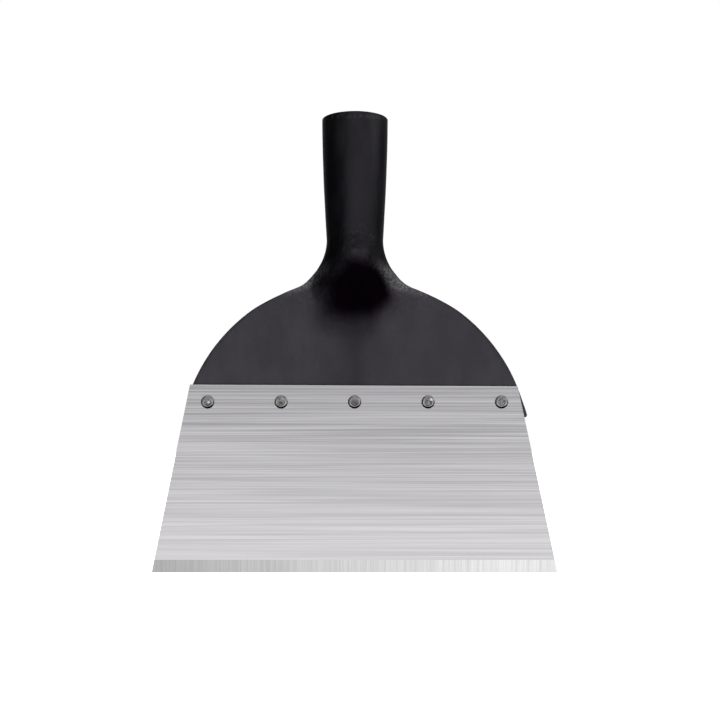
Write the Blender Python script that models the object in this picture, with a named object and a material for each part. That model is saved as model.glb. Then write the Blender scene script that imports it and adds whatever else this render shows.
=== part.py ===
"""Steel scraper head for a pole: a black socket and half-round plate with a riveted bright blade.

Units are metres and +Z is up. The origin is the centre of the socket's mouth, where the pole goes
in. The blade hangs down towards -Z, its ground front faces -Y, and the socket leans back to +Y.
"""

import math

import bmesh
import bpy
from mathutils import Vector

# Touching pieces keep this gap.
GAP = 0.0003

# Socket. A level is a distance down the head's centre line from the middle of the mouth.
SOCKET_LEAN = math.radians(9.0)
MOUTH_RADIUS = 0.0173
NECK_RADIUS = 0.01475
NECK_LEVEL = 0.0648
TAPER_POWER = 1.6
SOCKET_WALL = 0.0020
BORE_DEPTH = 0.0640
RIM_BREAK = 0.0004

# The centre line turns from the leaning socket into the upright plate on one arc.
BEND_LEVEL = 0.0759
BEND_RADIUS = 0.080

# Half-round plate.
PLATE_THICKNESS = 0.0020
PLATE_RADIUS = 0.0913
PLATE_CENTRE_LEVEL = 0.1753
PLATE_END_LEVEL = 0.1571
PLATE_CORNER_RADIUS = 0.0016
PLATE_SHIFT = -0.0002
HEEL_SHIFT = 0.0006
HEEL_START_LEVEL = 0.1460
PLATE_EDGE_BREAK = 0.0004

# The outline is drawn in a little where the shoulder runs into the round plate.
SHOULDER_DIP = 0.0014
SHOULDER_DIP_LEVEL = 0.0905
SHOULDER_DIP_RISE = 0.0090
SHOULDER_DIP_FALL = 0.0120

# The socket's solid foot swells out of the plate, front and back, and dies away down its middle.
FOOT_START_LEVEL = 0.0735
FOOT_END_LEVEL = 0.1065
FOOT_HALF_WIDTH = 0.0230
FOOT_WIDE_LEVEL = 0.0890
FOOT_TIP_LEVEL = 0.1150
CREASE_EASE = 0.08
TOE_EASE = 0.20
OUTLINE_EASE = 0.0060
ROUND_SIDES = 0.5
SOFT_SIDES = 1.4

# Blade. It was cut slightly out of true: its top edge sits a little left and slopes to the right.
BLADE_THICKNESS = 0.0015
BLADE_EDGE_WIDTH = 0.2108
BLADE_TOP_WIDTH = 0.1700
BLADE_HEIGHT = 0.0971
BLADE_LAP = 0.0167
BLADE_SHIFT = -0.00015
TOP_SHIFT = -0.0005
TOP_OUT_OF_SQUARE = 0.0009
GRIND_HEIGHT = 0.0067
EDGE_LAND = 0.0003

# Rivets, set in one row along the blade's top edge.
RIVET_COUNT = 5
RIVET_PITCH = 0.0381
RIVET_BELOW_TOP = 0.0086
SHANK_RADIUS = 0.0020
FORMED_HEAD_RADIUS = 0.0034
FORMED_HEAD_HEIGHT = 0.0013
FACTORY_HEAD_RADIUS = 0.0038
FACTORY_HEAD_HEIGHT = 0.0021

# Mesh density.
QUARTER_STEPS = 20
FOOT_STEPS = 11
SOCKET_ROWS = 9
BORE_ROWS = 4
NECK_ROWS = 32
PLATE_ROWS = 9
CORNER_ROWS = 3
RIVET_SEGMENTS = 24

BLACK_ENAMEL = ((0.047, 0.044, 0.050, 1.0), 0.42, 0.0)
BRUSHED_STEEL = ((0.62, 0.61, 0.60, 1.0), 0.34, 1.0)
RIVET_STEEL = ((0.42, 0.41, 0.40, 1.0), 0.40, 1.0)


def clear_scene():
    """Remove every object that is already in the file."""
    for item in list(bpy.data.objects):
        bpy.data.objects.remove(item, do_unlink=True)


def steel_material(name, look):
    """Return a Principled material from (colour, roughness, metallic)."""
    colour, roughness, metallic = look
    material = bpy.data.materials.new(name)
    material.use_nodes = True
    shader = material.node_tree.nodes["Principled BSDF"]
    shader.inputs["Base Color"].default_value = colour
    shader.inputs["Roughness"].default_value = roughness
    shader.inputs["Metallic"].default_value = metallic
    material.diffuse_color = colour
    return material


def add_object(name, mesh, material=None):
    """Link a mesh to the scene under a name, with its material."""
    item = bpy.data.objects.new(name, mesh)
    bpy.context.scene.collection.objects.link(item)
    if material:
        mesh.materials.append(material)
    return item


def mesh_from_rings(name, rings):
    """Skin a list of equal closed rings, cap both ends and turn the faces outwards."""
    shape = bmesh.new()
    rows = [[shape.verts.new(point) for point in ring] for ring in rings]
    around = len(rows[0])
    for upper, lower in zip(rows, rows[1:]):
        for step in range(around):
            after = (step + 1) % around
            shape.faces.new((upper[step], upper[after], lower[after], lower[step]))
    shape.faces.new(rows[0])
    shape.faces.new(rows[-1])
    bmesh.ops.recalc_face_normals(shape, faces=shape.faces)
    mesh = bpy.data.meshes.new(name)
    shape.to_mesh(mesh)
    shape.free()
    return mesh


def smooth_step(value):
    """Ease from 0 to 1 with no slope at either end."""
    value = min(max(value, 0.0), 1.0)
    return value * value * (3.0 - 2.0 * value)


def between(start, end, share):
    """Return the value that lies share of the way from start to end."""
    return start + (end - start) * share


def spread(start, end, count):
    """Return count + 1 evenly spaced values from start to end."""
    return [between(start, end, step / count) for step in range(count + 1)]


def frame_at(level):
    """Return the centre line's point at a level, and its lean there."""
    tangent_length = BEND_RADIUS * math.tan(SOCKET_LEAN / 2)
    arc_length = BEND_RADIUS * SOCKET_LEAN
    arc_start = BEND_LEVEL - tangent_length
    along = Vector((0.0, -math.sin(SOCKET_LEAN), -math.cos(SOCKET_LEAN)))
    if level <= arc_start:
        return along * level, SOCKET_LEAN
    turned = min((level - arc_start) / arc_length, 1.0) * SOCKET_LEAN
    lean = SOCKET_LEAN - turned
    across = BEND_RADIUS * (math.cos(lean) - math.cos(SOCKET_LEAN))
    down = BEND_RADIUS * (math.sin(SOCKET_LEAN) - math.sin(lean))
    below_arc = max(level - arc_start - arc_length, 0.0)
    return along * arc_start + Vector((0.0, -across, -down - below_arc)), lean


def shoulder_arc():
    """Return the concave arc that is tangent to the neck's side and to the plate's round edge.

    The result is its radius, the distance of its centre from the middle, and the level where it
    meets the plate's edge.
    """
    drop = PLATE_CENTRE_LEVEL - NECK_LEVEL
    radius = (NECK_RADIUS**2 + drop**2 - PLATE_RADIUS**2) / (2 * (PLATE_RADIUS - NECK_RADIUS))
    meets = PLATE_CENTRE_LEVEL - drop * PLATE_RADIUS / (PLATE_RADIUS + radius)
    return radius, NECK_RADIUS + radius, meets


def shoulder_dip(level):
    """Return how far the outline is drawn in where the shoulder meets the round plate."""
    above = (level - SHOULDER_DIP_LEVEL + SHOULDER_DIP_RISE) / SHOULDER_DIP_RISE
    below = (SHOULDER_DIP_LEVEL + SHOULDER_DIP_FALL - level) / SHOULDER_DIP_FALL
    return SHOULDER_DIP * smooth_step(min(above, below))


def half_width(level):
    """Return the head's half width at a level: socket, concave shoulder, then round plate."""
    radius, centre, meets = shoulder_arc()
    if level <= NECK_LEVEL:
        share = max(level, 0.0) / NECK_LEVEL
        return between(MOUTH_RADIUS, NECK_RADIUS, share**TAPER_POWER)
    if level <= meets:
        return centre - math.sqrt(radius**2 - (level - NECK_LEVEL) ** 2) - shoulder_dip(level)
    into_corner = max(level - (PLATE_END_LEVEL - PLATE_CORNER_RADIUS), 0.0)
    corner = PLATE_CORNER_RADIUS - math.sqrt(max(PLATE_CORNER_RADIUS**2 - into_corner**2, 0.0))
    return math.sqrt(PLATE_RADIUS**2 - (PLATE_CENTRE_LEVEL - level) ** 2) - corner - shoulder_dip(level)


def eased_min(first, second, ease):
    """Return the smaller of two values, rounded off where they are closer than ease."""
    near = max(ease - abs(first - second), 0.0)
    return min(first, second) - near**2 / (4 * ease)


def foot_reach(level):
    """Return the foot's half width: it leaves the head's outline and closes in a U on the plate."""
    past = (level - FOOT_WIDE_LEVEL) / (FOOT_TIP_LEVEL - FOOT_WIDE_LEVEL)
    own = FOOT_HALF_WIDTH * math.sqrt(max(1.0 - max(past, 0.0) ** 2, 0.0))
    return eased_min(half_width(level), own, OUTLINE_EASE)


def foot_slope(level):
    """Return the foot's height as a share: 1 on the socket, a straight slope, then 0 on the plate."""
    share = (FOOT_END_LEVEL - level) / (FOOT_END_LEVEL - FOOT_START_LEVEL)
    return -eased_min(-eased_min(1.0, share, CREASE_EASE), 0.0, TOE_EASE)


def head_depth(level, across):
    """Return how far the front or back surface stands from the middle of the head."""
    width = half_width(level)
    opening = smooth_step((level - NECK_LEVEL) / (shoulder_arc()[2] - NECK_LEVEL))
    sheet = opening * PLATE_THICKNESS / 2
    full = width if level <= NECK_LEVEL else NECK_RADIUS
    swell = (full - sheet) * foot_slope(level)
    reach = max(foot_reach(level), PLATE_THICKNESS)
    inside = max(1.0 - (across / reach) ** 2, 0.0)
    if level > FOOT_TIP_LEVEL:
        return sheet
    return sheet + swell * inside ** between(ROUND_SIDES, SOFT_SIDES, opening)


def quarter_section(level):
    """Return (across, depth) points from the front's middle to the side at a level."""
    width = half_width(level)
    reach = min(width, FOOT_HALF_WIDTH)
    opening = smooth_step((level - NECK_LEVEL) / (shoulder_arc()[2] - NECK_LEVEL))
    points = []
    for step in range(QUARTER_STEPS):
        round_across = width * math.sin(math.pi / 2 * step / (QUARTER_STEPS + 0.5))
        if step <= FOOT_STEPS:
            flat_across = reach * step / FOOT_STEPS
        else:
            share = (step - FOOT_STEPS) / (QUARTER_STEPS - 1 - FOOT_STEPS)
            flat_across = between(reach, width - PLATE_EDGE_BREAK, share)
        across = between(round_across, flat_across, opening)
        points.append((across, head_depth(level, across)))
    side_angle = math.pi / 2 * QUARTER_STEPS / (QUARTER_STEPS + 0.5)
    round_depth = width * math.cos(side_angle)
    flat_depth = PLATE_THICKNESS / 2 - PLATE_EDGE_BREAK
    across = between(width * math.sin(side_angle), width, opening)
    points.append((across, between(round_depth, flat_depth, opening)))
    return points


def side_shift(level):
    """Return how far the head's middle lies off to the side: the plate is cut slightly out of true."""
    onto_plate = smooth_step((level - NECK_LEVEL) / (shoulder_arc()[2] - NECK_LEVEL))
    onto_heel = smooth_step((level - HEEL_START_LEVEL) / (PLATE_END_LEVEL - HEEL_START_LEVEL))
    return PLATE_SHIFT * onto_plate + HEEL_SHIFT * onto_heel


def closed_ring(level, quarter):
    """Mirror a quarter section to a full ring on the centre line's plane at a level."""
    centre, lean = frame_at(level)
    back = Vector((0.0, math.cos(lean), -math.sin(lean)))
    right = Vector((1.0, 0.0, 0.0))
    centre = centre + right * side_shift(level)
    outline = [(across, -depth) for across, depth in quarter]
    outline += [(across, depth) for across, depth in reversed(quarter)]
    outline += [(-across, depth) for across, depth in quarter[1:]]
    outline += [(-across, -depth) for across, depth in reversed(quarter[1:])]
    return [centre + right * across + back * depth for across, depth in outline]


def round_quarter(radius):
    """Return a quarter of a circle with as many points as a quarter section."""
    angles = [math.pi / 2 * step / (QUARTER_STEPS + 0.5) for step in range(QUARTER_STEPS + 1)]
    return [(radius * math.sin(angle), radius * math.cos(angle)) for angle in angles]


def bore_radius(level):
    """Return the bore's radius: the socket's outside less its wall."""
    return half_width(level) - SOCKET_WALL


def head_rings():
    """Return the rings from the bore's floor up to the rim, then down the outside to the plate's end."""
    shoulder_end = shoulder_arc()[2]
    rings = []
    for level in reversed(spread(RIM_BREAK, BORE_DEPTH, BORE_ROWS)):
        rings.append(closed_ring(level, round_quarter(bore_radius(level))))
    rings.append(closed_ring(0.0, round_quarter(bore_radius(0.0) + RIM_BREAK)))
    rings.append(closed_ring(0.0, round_quarter(MOUTH_RADIUS - RIM_BREAK)))
    levels = spread(RIM_BREAK, NECK_LEVEL, SOCKET_ROWS)
    levels += spread(NECK_LEVEL, FOOT_TIP_LEVEL, NECK_ROWS)[1:]
    corner_start = PLATE_END_LEVEL - PLATE_CORNER_RADIUS
    levels += spread(FOOT_TIP_LEVEL, corner_start, PLATE_ROWS)[1:]
    for angle in spread(0.0, math.pi / 2, CORNER_ROWS)[1:]:
        levels.append(corner_start + PLATE_CORNER_RADIUS * math.sin(angle))
    for level in levels:
        rings.append(closed_ring(level, quarter_section(level)))
    return rings


def turned_mesh(name, profile, segments):
    """Revolve (radius, y) points about the Y axis. The first and last points lie on the axis."""
    shape = bmesh.new()
    ends = [shape.verts.new((0.0, profile[index][1], 0.0)) for index in (0, -1)]
    rows = []
    for radius, depth in profile[1:-1]:
        angles = [2 * math.pi * step / segments for step in range(segments)]
        row = [(radius * math.cos(angle), depth, radius * math.sin(angle)) for angle in angles]
        rows.append([shape.verts.new(point) for point in row])
    for step in range(segments):
        after = (step + 1) % segments
        shape.faces.new((ends[0], rows[0][step], rows[0][after]))
        shape.faces.new((ends[1], rows[-1][after], rows[-1][step]))
        for upper, lower in zip(rows, rows[1:]):
            shape.faces.new((upper[step], lower[step], lower[after], upper[after]))
    bmesh.ops.recalc_face_normals(shape, faces=shape.faces)
    mesh = bpy.data.meshes.new(name)
    shape.to_mesh(mesh)
    shape.free()
    return mesh


def plate_end_height():
    """Return the world height of the plate's straight lower end."""
    return frame_at(PLATE_END_LEVEL)[0].z


def plate_front():
    """Return the y of the plate's flat front face."""
    return frame_at(PLATE_END_LEVEL)[0].y - PLATE_THICKNESS / 2


def blade_top_height():
    """Return the height of the middle of the blade's top edge."""
    return plate_end_height() + BLADE_LAP


def rivet_places():
    """Return the (x, z) of each rivet, from left to right."""
    first = BLADE_SHIFT - RIVET_PITCH * (RIVET_COUNT - 1) / 2
    height = blade_top_height() - RIVET_BELOW_TOP
    return [(first + RIVET_PITCH * index, height) for index in range(RIVET_COUNT)]


def hole_cutter():
    """Return a hidden object of one cylinder through the sheets at each rivet."""
    shape = bmesh.new()
    for across, height in rivet_places():
        made = bmesh.ops.create_cone(
            shape,
            cap_ends=True,
            segments=RIVET_SEGMENTS,
            radius1=SHANK_RADIUS + GAP,
            radius2=SHANK_RADIUS + GAP,
            depth=8 * PLATE_THICKNESS,
        )
        for vertex in made["verts"]:
            x, y, z = vertex.co
            vertex.co = (x + across, plate_front() - z, y + height)
    mesh = bpy.data.meshes.new("rivet_holes")
    shape.to_mesh(mesh)
    shape.free()
    cutter = add_object("rivet_holes", mesh)
    cutter.hide_render = True
    cutter.display_type = "WIRE"
    return cutter


def cut_holes(item, cutter):
    """Cut the rivet holes out of a sheet."""
    holes = item.modifiers.new("rivet_holes", "BOOLEAN")
    holes.operation = "DIFFERENCE"
    holes.solver = "EXACT"
    holes.object = cutter


def make_socket_head(material, cutter):
    """Make the one-piece socket, neck and half-round plate."""
    mesh = mesh_from_rings("socket_head", head_rings())
    mesh.shade_smooth()
    mesh.set_sharp_from_angle(angle=math.radians(35))
    cut_holes(add_object("socket_head", mesh, material), cutter)


def make_blade(material, cutter):
    """Make the trapezoid blade, ground along its lower front edge."""
    back = plate_front() - GAP
    front = back - BLADE_THICKNESS
    top = blade_top_height()
    edge = top - BLADE_HEIGHT

    def end_section(side):
        """Return the five corners of the blade's left (-1) or right (+1) end."""
        side_top = top - side * TOP_OUT_OF_SQUARE / 2
        corners = [(back, side_top), (front, side_top), (front, edge + GRIND_HEIGHT)]
        corners += [(back - EDGE_LAND, edge), (back, edge)]
        edge_end = BLADE_SHIFT + side * BLADE_EDGE_WIDTH / 2
        top_end = BLADE_SHIFT + TOP_SHIFT + side * BLADE_TOP_WIDTH / 2
        shares = [(height - edge) / BLADE_HEIGHT for _, height in corners]
        return [(between(edge_end, top_end, share), y, z) for share, (y, z) in zip(shares, corners)]

    mesh = mesh_from_rings("blade", [end_section(-1), end_section(1)])
    cut_holes(add_object("blade", mesh, material), cutter)


def rivet_profile():
    """Return the rivet's (radius, y) outline about its axis, from the formed front head backwards."""
    head_seat = plate_front() - 2 * GAP - BLADE_THICKNESS
    back_seat = plate_front() + PLATE_THICKNESS + GAP
    crown = head_seat - FORMED_HEAD_HEIGHT
    dimple = 0.5 * FORMED_HEAD_RADIUS
    front = [
        (0.0, crown + 0.00025),
        (dimple, crown + 0.00020),
        (dimple + 0.00035, crown),
        (FORMED_HEAD_RADIUS - 0.0007, crown + 0.00005),
        (FORMED_HEAD_RADIUS - 0.0002, crown + 0.00035),
        (FORMED_HEAD_RADIUS, head_seat - 0.0002),
        (FORMED_HEAD_RADIUS, head_seat),
    ]
    shank = [(SHANK_RADIUS, head_seat), (SHANK_RADIUS, back_seat)]
    dome = []
    for angle in spread(0.0, math.pi / 2, 5):
        reach = FACTORY_HEAD_RADIUS * math.cos(angle)
        dome.append((reach, back_seat + FACTORY_HEAD_HEIGHT * math.sin(angle)))
    return front + shank + dome[:-1] + [(0.0, dome[-1][1])]


def make_rivets(material):
    """Make the row of solid rivets, which share one mesh."""
    mesh = turned_mesh("rivet", rivet_profile(), RIVET_SEGMENTS)
    mesh.materials.append(material)
    mesh.shade_smooth()
    mesh.set_sharp_from_angle(angle=math.radians(40))
    for index, (across, height) in enumerate(rivet_places(), start=1):
        rivet = add_object(f"rivet_{index}", mesh)
        rivet.location = (across, 0.0, height)


def build():
    """Build the whole head."""
    clear_scene()
    cutter = hole_cutter()
    make_socket_head(steel_material("black_enamel", BLACK_ENAMEL), cutter)
    make_blade(steel_material("brushed_steel", BRUSHED_STEEL), cutter)
    make_rivets(steel_material("rivet_steel", RIVET_STEEL))


build()
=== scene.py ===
"""Looks for the riveted steel scraper head: black enamelled socket and plate, brushed blade, rivets."""

import math
from collections import namedtuple

import bmesh
import bpy
from mathutils import Matrix, Vector, noise


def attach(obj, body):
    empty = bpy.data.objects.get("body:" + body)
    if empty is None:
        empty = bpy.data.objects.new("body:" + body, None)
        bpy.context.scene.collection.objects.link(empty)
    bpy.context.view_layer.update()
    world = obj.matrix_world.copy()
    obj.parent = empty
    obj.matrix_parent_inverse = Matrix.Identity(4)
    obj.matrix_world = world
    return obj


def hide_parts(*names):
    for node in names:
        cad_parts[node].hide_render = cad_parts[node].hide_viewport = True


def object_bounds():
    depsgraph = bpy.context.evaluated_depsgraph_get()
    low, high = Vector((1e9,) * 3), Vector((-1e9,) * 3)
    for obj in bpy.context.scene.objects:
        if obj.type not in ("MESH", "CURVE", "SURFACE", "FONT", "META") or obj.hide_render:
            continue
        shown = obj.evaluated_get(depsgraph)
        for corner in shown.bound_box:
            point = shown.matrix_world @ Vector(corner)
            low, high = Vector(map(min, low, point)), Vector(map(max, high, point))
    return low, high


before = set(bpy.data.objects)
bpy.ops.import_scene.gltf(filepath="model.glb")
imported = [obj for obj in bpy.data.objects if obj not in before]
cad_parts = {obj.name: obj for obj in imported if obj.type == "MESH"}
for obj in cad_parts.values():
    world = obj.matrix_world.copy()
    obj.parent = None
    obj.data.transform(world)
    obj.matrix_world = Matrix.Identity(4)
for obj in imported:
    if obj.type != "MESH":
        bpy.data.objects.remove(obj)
cad_low, cad_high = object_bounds()

# ---------------------------------------------------------------- sizes

# Head: the same driving dimensions as the solid it stands for.
SOCKET_LEAN = math.radians(9.0)
MOUTH_RADIUS = 0.0173
NECK_RADIUS = 0.01475
NECK_LEVEL = 0.0648
TAPER_POWER = 1.6
SOCKET_WALL = 0.0020
BORE_DEPTH = 0.0640
BORE_FLOOR_SHARE = 0.3
RIM_BREAK = 0.0004
BEND_LEVEL = 0.0759
BEND_RADIUS = 0.080
PLATE_THICKNESS = 0.0020
PLATE_RADIUS = 0.0913
PLATE_CENTRE_LEVEL = 0.1753
PLATE_END_LEVEL = 0.1571
PLATE_CORNER_RADIUS = 0.0016
PLATE_SHIFT = -0.0002
HEEL_SHIFT = 0.0006
HEEL_START_LEVEL = 0.1460
PLATE_EDGE_BREAK = 0.0006
FOOT_START_LEVEL = 0.0735
FOOT_END_LEVEL = 0.1065
FOOT_HALF_WIDTH = 0.0230
FOOT_WIDE_LEVEL = 0.0890
FOOT_TIP_LEVEL = 0.1150
CREASE_EASE = 0.08
TOE_EASE = 0.20
OUTLINE_EASE = 0.0060
SHOULDER_DIP = 0.0014
SHOULDER_DIP_LEVEL = 0.0905
SHOULDER_DIP_RISE = 0.0090
SHOULDER_DIP_FALL = 0.0120
ROUND_SIDES = 0.5
SOFT_SIDES = 1.4

# Relief of the forged surface: broad waves, and a fine hammered grain that is deeper on the neck.
WAVE_DEPTH = 0.00009
WAVE_SCALE = 80.0
GRAIN_DEPTH = 0.00002
NECK_GRAIN_DEPTH = 0.00009
GRAIN_SCALE = 300.0
GRAIN_OFFSET = Vector((7.0, 3.0, 1.0))
NECK_HEIGHT = -0.082
NECK_REACH = 0.022

# Mesh density of the head, and the angle in degrees above which an edge is shaded sharp.
QUARTER_STEPS = 58
FOOT_STEPS = 34
EDGE_STEPS = 4
SOCKET_ROWS = 70
BORE_ROWS = 24
NECK_ROWS = 92
PLATE_ROWS = 52
CORNER_ROWS = 6
SHARP_DEGREES = 35.0

# Blade: a trapezoid sheet, ground along its lower front edge.
GAP = 0.0003
BLADE_THICKNESS = 0.0015
BLADE_EDGE_WIDTH = 0.2108
BLADE_TOP_WIDTH = 0.1700
BLADE_HEIGHT = 0.0971
BLADE_LAP = 0.0167
BLADE_SHIFT = -0.00015
TOP_SHIFT = -0.0005
TOP_OUT_OF_SQUARE = 0.0009
GRIND_HEIGHT = 0.0067
EDGE_LAND = 0.0003
BLADE_EDGE_BREAK = 0.00014
BLADE_BREAK_STEPS = 2
BLADE_BREAK_DEGREES = 50.0
BLADE_SHARP_DEGREES = 25.0
BROKEN_EDGE_AREA = 0.00002
SKIN_INSET = 0.00001  # keeps the cutting edge inside the solid's box

# Rivets: a formed head in front of the blade, a factory head behind the plate.
RIVET_COUNT = 5
RIVET_PITCH = 0.0381
RIVET_BELOW_TOP = 0.0086
SHANK_RADIUS = 0.0020
FORMED_HEAD_RADIUS = 0.0034
FORMED_HEAD_HEIGHT = 0.0013
FACTORY_HEAD_RADIUS = 0.0038
FACTORY_HEAD_HEIGHT = 0.0021
DIMPLE_RADIUS = 0.0016
DIMPLE_LIP_RADIUS = 0.0020
DIMPLE_DEPTH = 0.00016
HEAD_SKIRT = 0.0001
HEAD_ROUNDING = 0.8
RIVET_SEGMENTS = 96
DIMPLE_STEPS = 12
LIP_STEPS = 6
FORMED_HEAD_STEPS = 14
FACTORY_HEAD_STEPS = 16
RIVET_SHARP_DEGREES = 50.0
HOLE_SEGMENTS = 48
CUTTER_LENGTH = 8 * PLATE_THICKNESS

# Relief pressed into the front heads: (depth, noise scale, shift of the noise from rivet to rivet).
HEAD_RELIEF = [(0.00007, 1500.0, 0.02), (0.00008, 520.0, 0.05)]
RELIEF_RADIUS = 0.0030
RELIEF_FADE = 0.0012

# The off-centre mark in each front head: its place, its depth and how bright the steel past it is: polish
# with a painted highlight.
DENT_RADIUS = 0.0013
Dent = namedtuple("Dent", "x z depth polish")
DENTS = [
    Dent(x=0.0006, z=-0.0003, depth=0.00022, polish=1.0),
    Dent(x=0.0002, z=0.0001, depth=0.00004, polish=0.0),
    Dent(x=-0.0001, z=0.0002, depth=0.00006, polish=0.0),
    Dent(x=0.0013, z=0.0010, depth=0.00006, polish=1.0),
    Dent(x=-0.0004, z=-0.0001, depth=0.00008, polish=0.0),
]


def smooth_step(value):
    """Ease from 0 to 1 with no slope at either end."""
    value = min(max(value, 0.0), 1.0)
    return value * value * (3.0 - 2.0 * value)


def between(start, end, share):
    """Return the value that lies share of the way from start to end."""
    return start + (end - start) * share


def spread(start, end, count):
    """Return count + 1 evenly spaced values from start to end."""
    return [between(start, end, step / count) for step in range(count + 1)]


def soft_noise(point):
    """Return a smooth noise between 0 and 1 at a point."""
    return 0.5 + 0.5 * noise.noise(point)


# ---------------------------------------------------------------- head shape


def frame_at(level):
    """Return the centre line's point at a level, and its lean there."""
    tangent_length = BEND_RADIUS * math.tan(SOCKET_LEAN / 2)
    arc_length = BEND_RADIUS * SOCKET_LEAN
    arc_start = BEND_LEVEL - tangent_length
    along = Vector((0.0, -math.sin(SOCKET_LEAN), -math.cos(SOCKET_LEAN)))
    if level <= arc_start:
        return along * level, SOCKET_LEAN
    turned = min((level - arc_start) / arc_length, 1.0) * SOCKET_LEAN
    lean = SOCKET_LEAN - turned
    across = BEND_RADIUS * (math.cos(lean) - math.cos(SOCKET_LEAN))
    down = BEND_RADIUS * (math.sin(SOCKET_LEAN) - math.sin(lean))
    below_arc = max(level - arc_start - arc_length, 0.0)
    return along * arc_start + Vector((0.0, -across, -down - below_arc)), lean


def shoulder_arc():
    """Return the radius, centre distance and lower level of the concave arc under the neck."""
    drop = PLATE_CENTRE_LEVEL - NECK_LEVEL
    radius = (NECK_RADIUS**2 + drop**2 - PLATE_RADIUS**2) / (2 * (PLATE_RADIUS - NECK_RADIUS))
    meets = PLATE_CENTRE_LEVEL - drop * PLATE_RADIUS / (PLATE_RADIUS + radius)
    return radius, NECK_RADIUS + radius, meets


def shoulder_dip(level):
    """Return how far the outline is drawn in where the shoulder meets the round plate."""
    above = (level - SHOULDER_DIP_LEVEL + SHOULDER_DIP_RISE) / SHOULDER_DIP_RISE
    below = (SHOULDER_DIP_LEVEL + SHOULDER_DIP_FALL - level) / SHOULDER_DIP_FALL
    return SHOULDER_DIP * smooth_step(min(above, below))


def half_width(level):
    """Return the head's half width at a level: socket, concave shoulder, then round plate."""
    radius, centre, meets = shoulder_arc()
    if level <= NECK_LEVEL:
        share = max(level, 0.0) / NECK_LEVEL
        return between(MOUTH_RADIUS, NECK_RADIUS, share**TAPER_POWER)
    if level <= meets:
        return centre - math.sqrt(radius**2 - (level - NECK_LEVEL) ** 2) - shoulder_dip(level)
    into_corner = max(level - (PLATE_END_LEVEL - PLATE_CORNER_RADIUS), 0.0)
    corner = PLATE_CORNER_RADIUS - math.sqrt(max(PLATE_CORNER_RADIUS**2 - into_corner**2, 0.0))
    return math.sqrt(PLATE_RADIUS**2 - (PLATE_CENTRE_LEVEL - level) ** 2) - corner - shoulder_dip(level)


def opening_at(level):
    """Return 0 on the round socket and 1 on the flat plate."""
    return smooth_step((level - NECK_LEVEL) / (shoulder_arc()[2] - NECK_LEVEL))


def eased_min(first, second, ease):
    """Return the smaller of two values, rounded off where they are closer than ease."""
    near = max(ease - abs(first - second), 0.0)
    return min(first, second) - near**2 / (4 * ease)


def foot_reach(level):
    """Return the foot's half width: it leaves the head's outline and closes in a U on the plate."""
    past = (level - FOOT_WIDE_LEVEL) / (FOOT_TIP_LEVEL - FOOT_WIDE_LEVEL)
    own = FOOT_HALF_WIDTH * math.sqrt(max(1.0 - max(past, 0.0) ** 2, 0.0))
    return eased_min(half_width(level), own, OUTLINE_EASE)


def foot_slope(level):
    """Return the foot's height as a share: 1 on the socket, a straight slope, then 0 on the plate."""
    share = (FOOT_END_LEVEL - level) / (FOOT_END_LEVEL - FOOT_START_LEVEL)
    return -eased_min(-eased_min(1.0, share, CREASE_EASE), 0.0, TOE_EASE)


def head_depth(level, across):
    """Return how far the front or back surface stands from the middle of the head."""
    width = half_width(level)
    opening = opening_at(level)
    sheet = opening * PLATE_THICKNESS / 2
    full = width if level <= NECK_LEVEL else NECK_RADIUS
    swell = (full - sheet) * foot_slope(level)
    reach = max(foot_reach(level), PLATE_THICKNESS)
    inside = max(1.0 - (across / reach) ** 2, 0.0)
    if level > FOOT_TIP_LEVEL:
        return sheet
    return sheet + swell * inside ** between(ROUND_SIDES, SOFT_SIDES, opening)


def quarter_angle(step):
    """Return the angle from the front's middle of a quarter section's point on the round socket."""
    return math.pi / 2 * step / (QUARTER_STEPS + 0.5)


def quarter_section(level):
    """Return (across, depth) points from the front's middle to the side at a level."""
    width = half_width(level)
    reach = min(width, FOOT_HALF_WIDTH)
    opening = opening_at(level)
    flat_steps = QUARTER_STEPS - EDGE_STEPS
    points = []
    for step in range(flat_steps + 1):
        round_across = width * math.sin(quarter_angle(step))
        if step <= FOOT_STEPS:
            flat_across = reach * step / FOOT_STEPS
        else:
            share = (step - FOOT_STEPS) / (flat_steps - FOOT_STEPS)
            flat_across = between(reach, width - PLATE_EDGE_BREAK, share)
        across = between(round_across, flat_across, opening)
        points.append((across, head_depth(level, across)))
    for step in range(1, EDGE_STEPS + 1):
        turn = math.pi / 2 * step / EDGE_STEPS
        angle = quarter_angle(flat_steps + step)
        flat_across = width - PLATE_EDGE_BREAK * (1.0 - math.sin(turn))
        flat_depth = PLATE_THICKNESS / 2 - PLATE_EDGE_BREAK * (1.0 - math.cos(turn))
        across = between(width * math.sin(angle), flat_across, opening)
        points.append((across, between(width * math.cos(angle), flat_depth, opening)))
    return points


def side_shift(level):
    """Return how far the head's middle lies off to the side: the plate is cut slightly out of true."""
    onto_heel = smooth_step((level - HEEL_START_LEVEL) / (PLATE_END_LEVEL - HEEL_START_LEVEL))
    return PLATE_SHIFT * opening_at(level) + HEEL_SHIFT * onto_heel


def closed_ring(level, quarter):
    """Mirror a quarter section to a full ring on the centre line's plane at a level."""
    centre, lean = frame_at(level)
    back = Vector((0.0, math.cos(lean), -math.sin(lean)))
    right = Vector((1.0, 0.0, 0.0))
    centre = centre + right * side_shift(level)
    outline = [(across, -depth) for across, depth in quarter]
    outline += [(across, depth) for across, depth in reversed(quarter)]
    outline += [(-across, depth) for across, depth in quarter[1:]]
    outline += [(-across, -depth) for across, depth in reversed(quarter[1:])]
    return [centre + right * across + back * depth for across, depth in outline]


def round_ring(level, radius):
    """Return a round ring with as many points as a head section."""
    angles = [quarter_angle(step) for step in range(QUARTER_STEPS + 1)]
    return closed_ring(level, [(radius * math.sin(a), radius * math.cos(a)) for a in angles])


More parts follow.
